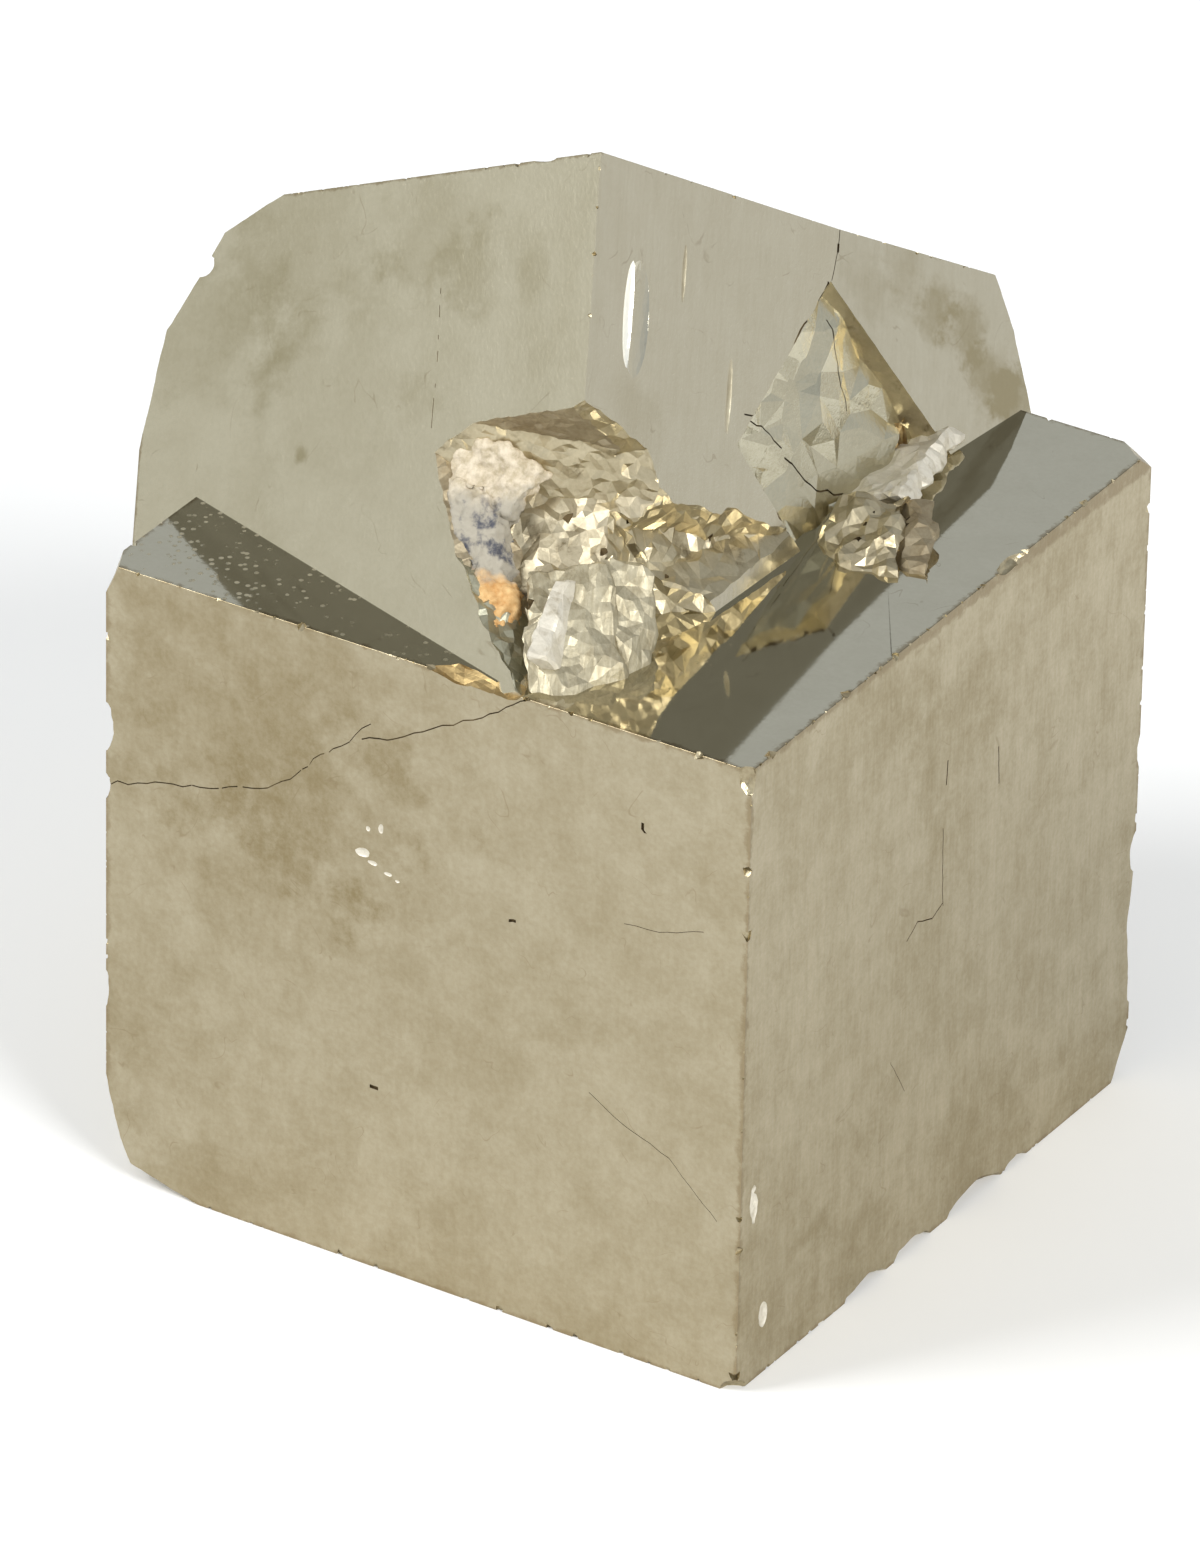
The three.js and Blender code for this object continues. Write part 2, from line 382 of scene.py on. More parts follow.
# The opposite corners of the upright cube, and how wide its edges are worn, in millimetres.
cube_block = (
    FRONT_EDGE + Vector((-CUBE_WIDTH, 0, 0)),
    FRONT_EDGE + Vector((0, CUBE_DEPTH, TOP_AT_FRONT_EDGE)),
    0.35,
)
face_left = pyrite_face(
    "worn_left_face", (0.450, 0.398, 0.284), (0.270, 0.215, 0.115), 0.38,
    cover=0.42, patch_scale=85.0, patches=0.28, smudges=0.34, streaks=0.06, scratched=0.5,
    block=cube_block,
    # The spots low on the face make it darker towards the bottom.
    spots=(
        (on_cube(-35, 0, 35), 15, 0.30), (on_cube(-30, 0, 30), 9, 0.16),
        (on_cube(-34, 0, 24), 9, 0.16), (on_cube(-44, 0, 12), 7, 0.20),
        (on_cube(-36, 0, 1), 7, 0.22), (on_cube(-22, 0, 0), 7, 0.20),
        (on_cube(-10, 0, 0), 5, 0.16), (on_cube(-20, 0, 19), 10, 0.08),
    ),
)
face_right = pyrite_face(
    "lined_right_face", (0.515, 0.455, 0.325), (0.290, 0.235, 0.130), 0.36,
    cover=0.44, patch_scale=95.0, patches=0.30, smudges=0.34, streaks=0.16, scratched=0.4,
    block=cube_block,
    # The spots low on the face make it darker towards the bottom.
    spots=(
        (on_cube(0, 23, 33), 7, 0.20), (on_cube(0, 16, 40), 6, 0.18),
        (on_cube(0, 2, 6), 9, 0.20), (on_cube(0, 14, 3), 8, 0.20),
        (on_cube(0, 28, 4), 8, 0.20), (on_cube(0, 42, 3), 6, 0.20),
        (on_cube(0, 34, 42), 7, 0.16), (on_cube(0, 19, 20), 8, 0.12),
    ),
)
face_top = pyrite_face(
    "mirror_top_face", (0.605, 0.560, 0.430), (0.40, 0.36, 0.25), 0.035,
    cover=0.32, patch_scale=260.0, patches=0.30, smudges=0.16, relief=0.03,
    block=cube_block, specked=(on_cube(-36, 10, 42.3), 26, 0.5), scratched=0.3,
)
face_hidden = pyrite_face(
    "plain_back_face", (0.520, 0.460, 0.330), (0.300, 0.240, 0.130), 0.36,
    cover=0.44, patch_scale=60.0, patches=0.26, smudges=0.24, streaks=0.14, scratched=0.4,
    block=cube_block,
)
chipped = pyrite_face(
    "chipped_edge", (0.54, 0.48, 0.33), (0.20, 0.15, 0.08), 0.34,
    cover=0.5, patch_scale=500.0, patches=0.5, smudges=0.5,
)
# Pale chips are fresh pale scars. On the broken mass and the stump's blade, this pale colour is a painted
# highlight as well.
pale_chip_and_highlight = pyrite_face(
    "pale_chip_and_highlight", (0.76, 0.72, 0.62), (0.34, 0.29, 0.19), 0.5,
    cover=0.5, patch_scale=900.0, patches=0.7, smudges=0.3, metal=0.6,
)
rusty_chip = pyrite_face(
    "rusty_chip", (0.50, 0.37, 0.17), (0.15, 0.09, 0.035), 0.45,
    cover=0.5, patch_scale=420.0, patches=0.6, smudges=0.4, metal=0.85,
)
# A dark brown for real stained cracks. It also serves as painted shade in crevices and recesses.
crack_stain_and_shade = pyrite_face(
    "stained_crack_and_shade", (0.20, 0.15, 0.08), (0.07, 0.045, 0.02), 0.7,
    cover=0.5, patch_scale=500.0, patches=0.5, smudges=0.4,
)

upright = block("upright", (-CUBE_WIDTH, 0, 0), (0, CUBE_DEPTH, TOP_AT_FRONT_EDGE))
finish_as(upright, face_hidden)
finish_as(upright, face_left, lambda f: f.normal.y < -0.9)
finish_as(upright, face_right, lambda f: f.normal.x > 0.9)
finish_as(upright, face_top, lambda f: f.normal.z > 0.9)
FAR_SIDE = 40 * mm
for left, back, height in (
    (True, False, TOP_AT_LEFT_CORNER),
    (False, True, TOP_AT_RIGHT_CORNER),
    (True, True, TOP_AT_BACK_CORNER),
):
    pick(
        upright,
        lambda v: v.co.z > FAR_SIDE and (v.co.x < -FAR_SIDE) == left and (v.co.y > FAR_SIDE) == back,
    )
    bpy.ops.transform.translate(value=(0, 0, height - TOP_AT_FRONT_EDGE))
    bpy.ops.object.mode_set(mode="OBJECT")


def soften_edges(piece, width):
    """Rounds all the edges of a plain block a little."""
    alone(piece)
    change = piece.modifiers.new("soft", "BEVEL")
    change.width = width
    change.segments = 3
    bpy.ops.object.modifier_apply(modifier=change.name)


EDGE_ROUNDING = 0.05 * mm
soften_edges(upright, EDGE_ROUNDING)


def combine(piece, tool, how):
    """Cuts the tool out of the piece or joins it on, and removes the tool."""
    alone(piece)
    change = piece.modifiers.new("combine", "BOOLEAN")
    change.operation = how
    change.object = tool
    change.solver = "MANIFOLD"
    change.material_mode = "TRANSFER"
    bpy.ops.object.modifier_apply(modifier=change.name)
    bpy.data.objects.remove(tool)


def clouds(scale, depth):
    """A relief that a broken surface is pushed out by."""
    relief = bpy.data.textures.new("relief", "CLOUDS")
    relief.noise_scale = scale
    relief.noise_depth = depth
    return relief


def push_out(piece, relief, height, group="", middle=0.5):
    """Pushes the surface in and out along its normals by a relief."""
    alone(piece)
    change = piece.modifiers.new("relief", "DISPLACE")
    change.texture = relief
    change.texture_coords = "GLOBAL"
    change.strength = height
    change.mid_level = middle
    change.vertex_group = group
    bpy.ops.object.modifier_apply(modifier=change.name)


def into_facets(piece, share):
    """Merges a fine rough surface into small flat facets, keeping this share of its faces."""
    alone(piece)
    change = piece.modifiers.new("facets", "DECIMATE")
    change.ratio = share
    bpy.ops.object.modifier_apply(modifier=change.name)


def rough_slab(corner, toward, material, reliefs, reach, cuts=70, share=1.0):
    """A slab with its broken underside on the plane through three points, on one side of it."""
    a, b, c = (Vector(p) * mm for p in corner)
    outward = (b - a).cross(c - a).normalized()
    if outward.dot(Vector(toward) * mm - a) < 0:
        outward = -outward
    slab = block("slab", (-reach / 2, -reach / 2, 0), (reach / 2, reach / 2, 0.6 * reach))
    pick(slab, lambda f: f.normal.z < -0.9, "FACE")
    bpy.ops.mesh.subdivide(number_cuts=cuts)
    bpy.ops.object.vertex_group_add()
    bpy.ops.object.vertex_group_assign()
    bpy.ops.object.mode_set(mode="OBJECT")
    slab.rotation_euler = Vector((0, 0, 1)).rotation_difference(outward).to_euler()
    slab.location = (a + b + c) / 3
    settle(slab)
    for relief, height in reliefs:
        push_out(slab, relief, height, slab.vertex_groups[0].name, 0.25)
    if share < 1.0:
        into_facets(slab, share)
    finish_as(slab, material)
    return slab


def break_off(piece, corner, heart, material, height, reach=18 * mm):
    """Breaks a corner off along a rough plane through three points, away from the heart."""
    a = Vector(corner[0])
    away = a + (a - Vector(heart)) * 2
    reliefs = ((clouds(3.0 * mm, 3), height), (clouds(0.7 * mm, 2), 0.25 * height))
    combine(piece, rough_slab(corner, away, material, reliefs, reach), "DIFFERENCE")


upright_heart = (-22, 22, 21)
for corner in (
    ((-45, 1.9, 42.3), (-45, 0, 40.2), (-44.1, 0, 42.3)),
    ((-45, 0, 4.4), (-45, 4, 0), (-42.6, 0, 0)),
    ((-45, 0, 1.7), (-45, 3, 0), (-38.8, 0, 0)),
    ((-45, 0, 7.0), (-45, 3, 2.0), (-43.9, 0, 1.8)),
    ((0, 45.3, 3), (0, 43.4, 0), (-2.5, 45.3, 0)),
    ((0, 45.3, 42.1), (0, 43.9, 43.2), (-1.8, 45.3, 43.2)),
    ((-45, 45.3, 5), (-42, 45.3, 0), (-45, 41.5, 0)),
):
    break_off(upright, corner, upright_heart, chipped, 0.3 * mm)


def egg(name, middle, size, material, uneven=0.25):
    """A rounded, uneven cutter of a few hundred faces, for a chip or a bite."""
    bpy.ops.object.select_all(action="DESELECT")
    bpy.ops.mesh.primitive_ico_sphere_add(
        subdivisions=3, radius=mm, location=Vector(middle) * mm, scale=size
    )
    piece = bpy.context.active_object
    piece.name = name
    settle(piece)
    push_out(piece, clouds(0.8 * mm, 2), uneven * max(size) * mm)
    finish_as(piece, material)
    return piece


for middle, size in (
    ((0.3, 14.6, -0.35), (1.5, 2.6, 1.1)),
    ((0.2, 20.0, -0.25), (1.3, 2.2, 1.0)),
    ((0.3, 27.2, -0.45), (1.5, 3.4, 1.5)),
    ((0.2, 32.0, -0.2), (1.0, 1.4, 0.7)),
    ((0.3, 45.6, 15.6), (1.5, 1.0, 1.6)),
    ((0.1, 45.5, 9.5), (1.2, 0.75, 5.0)),
    ((0.1, 45.5, 22.5), (0.9, 0.5, 1.5)),
    ((0.1, -0.1, 0.0), (1.3, 1.2, 0.9)),
    ((-45.05, 0.0, 27.0), (0.40, 0.5, 0.9)),
    ((-45.05, 0.0, 13.0), (0.28, 0.4, 1.3)),
    ((0.1, 29.0, 42.9), (0.6, 1.5, 0.5)),
    ((-0.1, 0.0, 41.9), (0.7, 0.5, 1.3)),
):
    combine(upright, egg("bite", middle, size, chipped), "DIFFERENCE")
for middle, size in (
    ((-19.8, 0.1, 42.45), (2.6, 1.3, 0.75)),
    ((-17.0, 0.2, 42.5), (1.3, 1.4, 0.75)),
):
    combine(upright, egg("rusty_bite", middle, size, rusty_chip, 0.4), "DIFFERENCE")
for middle, size in (
    ((0.1, 1.5, 12.4), (0.22, 0.45, 1.5)),
    ((0.1, 2.9, 4.1), (0.25, 0.55, 0.9)),
    ((-26.7, -0.1, 28.3), (0.6, 0.20, 0.35)),
    ((-26.0, -0.1, 27.8), (0.45, 0.18, 0.20)),
    ((-24.9, -0.1, 27.4), (0.40, 0.17, 0.18)),
    ((-24.2, -0.1, 27.1), (0.22, 0.16, 0.14)),
    ((-25.4, -0.1, 30.3), (0.22, 0.17, 0.40)),
    ((-26.3, -0.1, 30.0), (0.18, 0.16, 0.22)),
):
    combine(upright, egg("pale_bite", middle, size, pale_chip_and_highlight, 0.35), "DIFFERENCE")


def nicked_edges(piece, edges, material, seed, smallest=0.10, largest=0.42):
    """Knocks small chips out along edges, with more room after a large one than a small one."""
    chance = random.Random(seed)
    first = egg("nick", (0, 0, 0), (1, 1, 1), material, 0.3)
    alone(first)
    thinner = first.modifiers.new("thinner", "DECIMATE")
    thinner.ratio = 0.03
    bpy.ops.object.modifier_apply(modifier=thinner.name)
    nicks = []
    for start, end, density in edges:
        start, end = Vector(start), Vector(end)
        along = (end - start).normalized()
        at = 1.0
        while at < (end - start).length - 1.0:
            size = smallest + (largest - smallest) * chance.random() ** 3
            nick = first.copy()
            nick.data = first.data.copy()
            bpy.context.collection.objects.link(nick)
            nick.scale = (size, size, size)
            nick.rotation_euler = [chance.uniform(0, 6.28) for _ in range(3)]
            aside = Vector([chance.uniform(-0.4, 0.4) * size for _ in range(3)])
            nick.location = (start + along * at + aside) * mm
            nicks.append(nick)
            at += 3.2 * size + chance.expovariate(1.0) / density
    bpy.data.objects.remove(first)
    bpy.ops.object.select_all(action="DESELECT")
    for nick in nicks:
        nick.select_set(True)
    bpy.context.view_layer.objects.active = nicks[0]
    bpy.ops.object.join()
    settle(nicks[0])
    combine(piece, nicks[0], "DIFFERENCE")


wide = CUBE_WIDTH / mm
deep = CUBE_DEPTH / mm
front_foot = (0, 0, 0)
left_foot = (-wide, 0, 0)
right_foot = (0, deep, 0)
back_foot = (-wide, deep, 0)
front_top = (0, 0, TOP_AT_FRONT_EDGE / mm)
left_top = (-wide, 0, TOP_AT_LEFT_CORNER / mm)
right_top = (0, deep, TOP_AT_RIGHT_CORNER / mm)
back_top = (-wide, deep, TOP_AT_BACK_CORNER / mm)
nicked_edges(
    upright,
    (
        (front_top, right_top, 1.6), (front_top, left_top, 0.8), (front_top, front_foot, 0.4),
        (front_foot, left_foot, 0.9), (front_foot, right_foot, 0.9),
        (left_top, left_foot, 0.7), (right_top, right_foot, 0.8), (left_top, back_top, 0.5),
        (right_top, back_top, 0.5), (back_top, back_foot, 0.5),
        (left_foot, back_foot, 0.4), (back_foot, right_foot, 0.4),
    ),
    chipped, 11,
)


# A wandering crack turns about this often, and only sways in the directions in which its
# half width is less than this, both in millimetres.
CRACK_STEP = 0.7
THIN = 0.3


def crack_along(piece, route, half, material, sway):
    """Cuts a thin crack: a sliver with these half widths, drawn out along a route."""
    chance = random.Random(1)
    points = [Vector(route[0])]
    for earlier, later in zip(route, route[1:]):
        earlier, later = Vector(earlier), Vector(later)
        pieces = max(1, round((later - earlier).length / CRACK_STEP)) if sway > 0 else 1
        for number in range(1, pieces + 1):
            point = earlier.lerp(later, number / pieces)
            if number < pieces:
                point += Vector([chance.uniform(-sway, sway) * (h < THIN) for h in half])
            points.append(point)
    first_step = points[1] - points[0]
    axis = max(range(3), key=lambda i: abs(first_step[i]))
    half = Vector(half) * mm
    sliver = block("crack", points[0] * mm - half, points[0] * mm + half)
    side = 1 if first_step[axis] > 0 else -1
    pick(sliver, lambda f: f.normal[axis] * side > 0.9, "FACE")
    for earlier, later in zip(points, points[1:]):
        bpy.ops.mesh.extrude_region_move(TRANSFORM_OT_translate={"value": (later - earlier) * mm})
    bpy.ops.object.mode_set(mode="OBJECT")
    finish_as(sliver, material)
    combine(piece, sliver, "DIFFERENCE")


for route, half, sway in (
    (
        (
            (-15.2, 0, 42.2), (-16.8, 0, 41.2), (-18.4, 0, 40), (-21.2, 0, 38.6), (-24.4, 0, 36.7),
            (-26.8, 0, 35.9),
        ),
        (0.02, 0.10, 0.045), 0.10,
    ),
    (
        (
            (-26.2, 0, 37.1), (-28.2, 0, 35), (-30.2, 0, 33.5), (-31.8, 0, 31.6),
            (-33.9, 0, 30.3), (-38.2, 0, 29), (-40.7, 0, 28.5), (-46, 0, 26.8),
        ),
        (0.02, 0.09, 0.04), 0.12,
    ),
    (((-16.0, 0, 27.1), (-16.3, 0, 27.0)), (0.1, 0.15, 0.10), 0.0),
    (((-7.3, 0, 36.3), (-7.1, 0, 36.1)), (0.1, 0.15, 0.22), 0.0),
    (((-25.9, 0, 12.5), (-25.5, 0, 12.5)), (0.1, 0.15, 0.12), 0.0),
    (
        ((-10.6, 0, 17.2), (-8.4, 0, 15.9), (-5.0, 0, 14.6), (-1.6, 0, 11.4)),
        (0.02, 0.12, 0.022), 0.05,
    ),
    (((-3, 0, 30.6), (-6, 0, 29.6), (-8.4, 0, 29.4)), (0.02, 0.1, 0.02), 0.05),
    (((0, 22, 28.1), (0, 22.1, 25.2), (0, 22.3, 22.7)), (0.1, 0.03, 0.02), 0.05),
    (((0, 22.3, 22.9), (0, 21.1, 22.4), (0, 19.4, 23.0), (0, 18.2, 22.2)), (0.1, 0.02, 0.04), 0.08),
    (((0, 22.3, 32.6), (0, 22.2, 31.0)), (0.15, 0.05, 0.02), 0.03),
    (((0, 28.2, 30.8), (0, 28.4, 28.2)), (0.15, 0.04, 0.02), 0.03),
    (((0, 16.8, 14.5), (0, 17.8, 13.0), (0, 18.5, 11.8)), (0.15, 0.02, 0.08), 0.05),
):
    crack_along(upright, route, half, crack_stain_and_shade, sway)

# The leaning cube is a second pyrite crystal that grew through the first one and leans back
# 40 degrees. It is shaped here in a frame of its own: the origin is its top front corner, X
# points out of its right face, Y runs back along that face and Z points out of its top face.
LEANING_CORNER = Vector((-22.49, 18.28, 68.10)) * mm
LEANING_TURN = (math.radians(-33.48), math.radians(-23.38), math.radians(-2.93))
LEANING_WIDTH = 35.4 * mm
LEANING_DEPTH = 39.6 * mm
LEANING_HEIGHT = 36 * mm
GROWTH_LINE_AT = 21.7 * mm
GROWTH_STEP_OUT = 1.16 * mm

leaning_frame = (LEANING_CORNER + FRONT_EDGE, LEANING_TURN)
# Its opposite corners, and how wide its edges are worn, in millimetres.
leaning_block = (
    Vector((-LEANING_WIDTH, 0, -LEANING_HEIGHT)),
    Vector((GROWTH_STEP_OUT, LEANING_DEPTH, 0)),
    0.22,
)
lean_left = pyrite_face(
    "leaning_left_face", (0.568, 0.526, 0.388), (0.345, 0.305, 0.190), 0.22,
    cover=0.50, patch_scale=75.0, patches=0.34, smudges=0.18, scratched=0.35,
    relief=0.5, turned=leaning_frame, block=leaning_block, dulling=0.02,
    spots=(
        ((-9.7, 0, -5.9), 3.6, 0.34), ((-4.6, 0, -6.6), 2.2, 0.32), ((-12.5, 0, -4), 5.0, 0.30),
        ((-24, 0, -3.5), 9.0, 0.30), ((-30, 0, -7), 8.0, 0.30), ((-13.2, 0, -13.8), 2.4, 0.3),
        ((-22.2, 0, -16.1), 0.7, 0.7), ((-20, 0, -12), 9.0, 0.16),
    ),
)
lean_right = pyrite_face(
    "leaning_right_face", (0.625, 0.590, 0.475), (0.400, 0.350, 0.225), 0.15,
    cover=0.36, patch_scale=60.0, patches=0.20, smudges=0.12, streaks=0.10, scratched=0.3,
    relief=0.4, turned=leaning_frame, block=leaning_block, dulling=0.03,
    # The first five spots, from 27 to 38 mm along, darken the far right end of this face. They are painted
    # shade for the darker reflection of a gentle wave in the face there.
    spots=(
        ((1, 27.6, -1.6), 3.0, 0.35), ((1, 30.2, -3.0), 2.4, 0.55), ((1, 33.0, -4.0), 2.6, 0.65),
        ((1, 35.4, -6.2), 2.8, 0.65), ((1, 37.6, -7.2), 2.6, 0.6), ((1, 25, -3.0), 3.0, 0.25),
        ((0, 4.8, -15), 3.2, 0.18),
    ),
)
lean_back = pyrite_face(
    "leaning_back_face", (0.540, 0.490, 0.365), (0.310, 0.255, 0.145), 0.32,
    cover=0.44, patch_scale=60.0, patches=0.26, smudges=0.22, streaks=0.14, scratched=0.4,
    turned=leaning_frame, block=leaning_block,
)
leaning = block("leaning", (-LEANING_WIDTH, 0, -LEANING_HEIGHT), (0, LEANING_DEPTH, 0))
finish_as(leaning, lean_back)
finish_as(leaning, lean_left, lambda f: f.normal.y < -0.9)
finish_as(leaning, lean_right, lambda f: f.normal.x > 0.9)
pick(leaning, lambda v: True)
bpy.ops.mesh.bisect(plane_co=(0, GROWTH_LINE_AT, 0), plane_no=(0, 1, 0))
bpy.ops.object.mode_set(mode="OBJECT")
pick(leaning, lambda v: v.co.x > -1 * mm and v.co.y > LEANING_DEPTH - mm)
bpy.ops.transform.translate(value=(GROWTH_STEP_OUT, 0, 0))
bpy.ops.object.mode_set(mode="OBJECT")

leaning_heart = (-18, 20, -18)
for corner in (
    ((-25.4, 0, 0), (-29.8, 0, -1.9), (-33.0, 9, 0)),
    ((-29.8, 0, -2.0), (-33.9, 0, -7.4), (-35.4, 10, -2)),
    ((-33.9, 0, -7.4), (-35.2, 0, -13.4), (-35.4, 8, -8)),
    ((1.2, 35.9, 0), (1.2, 37.2, -3.1), (-7, 39.6, 0)),
    ((1.2, 37, -2.8), (1.2, 39.6, -6.9), (-5, 39.6, -2)),
):
    break_off(leaning, corner, leaning_heart, lean_back, 0.25 * mm, 26 * mm)
nicked_edges(
    leaning,
    (
        ((0, 0, 0), (-14, 0, 0), 0.4), ((-14, 0, 0), (-26, 0, 0), 2.2), ((0, 0, 0), (0, 21.7, 0), 0.25),
        ((0, 21.7, 0), (0.9, 36, 0), 0.7), ((0, 0, 0), (0, 0, -15), 0.4),
        ((0, 39.6, 0), (-35.4, 39.6, 0), 0.4), ((-35.4, 11, 0), (-35.4, 39.6, 0), 0.4),
    ),
    chipped, 23, 0.08, 0.28,
)
for middle, size in (((-4.3, 0, 0.1), (0.9, 0.5, 0.28)), ((-31.2, 0, -3.7), (0.9, 2.2, 0.7))):
    combine(leaning, egg("notch", middle, size, chipped), "DIFFERENCE")
for route, half, sway in (
    (((0, 21.75, 0.2), (0, 21.7, -1.2), (0, 21.3, -3.2)), (0.06, 0.03, 0.02), 0.03),
    (((0, 21.7, -0.9), (0, 21.7, -1.4)), (0.2, 0.09, 0.02), 0.0),
    (((-11.9, 0, -7.0), (-11.8, 0, -11.0), (-11.9, 0, -15.4)), (0.025, 0.01, 0.02), 0.03),
):
    crack_along(leaning, route, half, crack_stain_and_shade, sway)

# Where the front edge of the leaning cube met the upright one, a corner of it has broken out
# and left a hollow. Its fracture is bright and uneven. A rough band runs along the top, painted darker
# as shade where it faces down. Small sparkling facets fill the middle, with fine dark patches of painted
# shade between them. A paler broken mass lies below, with a pale strip on it that is a painted highlight,
# and a long arm runs to the right.
# The bright and mixed fractures carry fine dark patches. These are real stain, and also painted shade that
# stands for the dark crevices between their facets.
fracture_bright = pyrite_face(
    "bright_fracture", (0.58, 0.51, 0.35), (0.13, 0.095, 0.045), 0.38,
    cover=0.48, patch_scale=700.0, patches=0.8, smudges=0.25, turned=leaning_frame,
)
# Painted darker: this rough fracture is also painted shade, on the band that faces down and on the shaded
# side of the stump.
fracture_stained_and_shaded = pyrite_face(
    "stained_and_shaded_fracture", (0.47, 0.41, 0.29), (0.22, 0.165, 0.09), 0.55,
    cover=0.5, patch_scale=380.0, patches=0.45, smudges=0.5, turned=leaning_frame,
)
fracture_smooth = pyrite_face(
    "smooth_fracture", (0.62, 0.57, 0.42), (0.22, 0.18, 0.105), 0.46,
    cover=0.45, patch_scale=420.0, patches=0.6, smudges=0.3, streaks=0.3,
    metal=0.8, turned=leaning_frame,
)
fracture_mixed = pyrite_face(
    "mixed_fracture", (0.54, 0.48, 0.345), (0.13, 0.098, 0.048), 0.48,
    cover=0.5, patch_scale=900.0, patches=0.9, smudges=0.25, turned=leaning_frame,
)
fracture_pane = pyrite_face(
    "pane_fracture", (0.60, 0.565, 0.43), (0.33, 0.28, 0.17), 0.22,
    cover=0.45, patch_scale=230.0, patches=0.5, smudges=0.2, turned=leaning_frame,
)
fracture_green = pyrite_face(
    "greenish_fracture", (0.50, 0.49, 0.38), (0.26, 0.25, 0.17), 0.42,
    cover=0.5, patch_scale=500.0, patches=0.5, smudges=0.4, turned=leaning_frame,
)


def fine_mesh(piece, size):
    """Gives the piece an even, fine mesh of about this size."""
    alone(piece)
    change = piece.modifiers.new("fine", "REMESH")
    change.mode = "VOXEL"
    change.voxel_size = size
    bpy.ops.object.modifier_apply(modifier=change.name)


grains = ((clouds(2.2 * mm, 2), 1.2 * mm), (clouds(0.7 * mm, 2), 0.45 * mm))
coarse = ((clouds(2.4 * mm, 2), 1.4 * mm), (clouds(0.8 * mm, 2), 0.45 * mm))
gentle = ((clouds(0.9 * mm, 3), 0.45 * mm),)


HOLLOW_REACH = 34 * mm
HOLLOW_CUTS = 110


def hollow_between(sides, inside):
    """The solid space between several broken sides, which is then cut out of the crystal."""
    space = None
    for corner, material, reliefs, share in sides:
        slab = rough_slab(corner, inside, material, reliefs, HOLLOW_REACH, HOLLOW_CUTS, share)
        if space is None:
            space = slab
        else:
            combine(space, slab, "INTERSECT")
    return space


hollow = hollow_between(
    (
        # The first two sides form the top band, painted darker as shade where it faces down.
        (((-11.9, 0, -15.6), (0, 0, -15.25), (-6, 3.2, -16.5)), fracture_stained_and_shaded, gentle, 0.4),
        (((-11.9, 0, -15.6), (-9.9, 0, -21.1), (-9.6, 2.2, -18.5)), fracture_stained_and_shaded, gentle, 0.4),
        (((-9.9, 0, -21.1), (-4.2, 0, -30.6), (-7.2, 1.8, -25)), fracture_green, grains, 0.4),
        (((-8.6, 2.6, -18.6), (-1, 6.6, -19), (-2.6, 4.6, -28)), fracture_mixed, coarse, 0.38),
        (((0, 4.2, -15.8), (0, 8.2, -20.2), (-2.4, 6.0, -19)), fracture_bright, gentle, 0.4),
        (((0, 8.6, -20), (0, 7.2, -29), (-2.4, 6.2, -24)), fracture_bright, coarse, 0.3),
    ),
    (0.5, 0.5, -23),
)
combine(leaning, hollow, "DIFFERENCE")

shoulder = hollow_between(
    (
        (((0, 0.6, -15.1), (0, 5.0, -16.5), (-2.2, 2.6, -16.7)), fracture_bright, gentle, 0.3),
        (((0, 4.9, -16.4), (0, 8.0, -20.2), (-2.2, 5.4, -19.6)), fracture_bright, grains, 0.4),
        (((-2.4, 1.5, -17), (-2.4, 6, -20), (-2.0, 4, -24)), fracture_bright, coarse, 0.35),
    ),
    (1.5, 4.0, -19.5),
)
combine(leaning, shoulder, "DIFFERENCE")
arm = hollow_between(
    (
        (((0, 6, -19.7), (0, 17, -19.3), (-2, 10, -21)), fracture_bright, grains, 0.35),
        (((0, 17.6, -20.0), (0, 7.4, -28), (-1.6, 10, -23.2)), fracture_bright, gentle, 0.2),
        (((-2.2, 6, -21), (-2.2, 6, -28), (-0.7, 16, -20.4)), fracture_bright, coarse, 0.3),
    ),
    (1.5, 9, -22.5),
)
combine(leaning, arm, "DIFFERENCE")


def lump(name, corners):
    """A cube with its eight corners pulled to their places and drawn tight."""
    piece = block(name, (-mm, -mm, -mm), (mm, mm, mm))
    for number, corner in enumerate(corners):
        start = piece.data.vertices[number].co.copy()
        pick(piece, lambda v: v.index == number)
        bpy.ops.transform.translate(value=Vector(corner) * mm - start)
        bpy.ops.object.mode_set(mode="OBJECT")
    pick(piece, lambda v: True)
    bpy.ops.mesh.convex_hull()
    bpy.ops.object.mode_set(mode="OBJECT")
    return piece


def broken_lump(corners, material, height, share, grain):
    """A lump with a rough broken surface, joined to the leaning crystal."""
    piece = lump("broken_lump", corners)
    fine_mesh(piece, 0.2 * mm)
    push_out(piece, clouds(grain * mm, 2), height * mm)
    fine_mesh(piece, 0.15 * mm)
    into_facets(piece, share)
    finish_as(piece, material)
    combine(leaning, piece, "UNION")


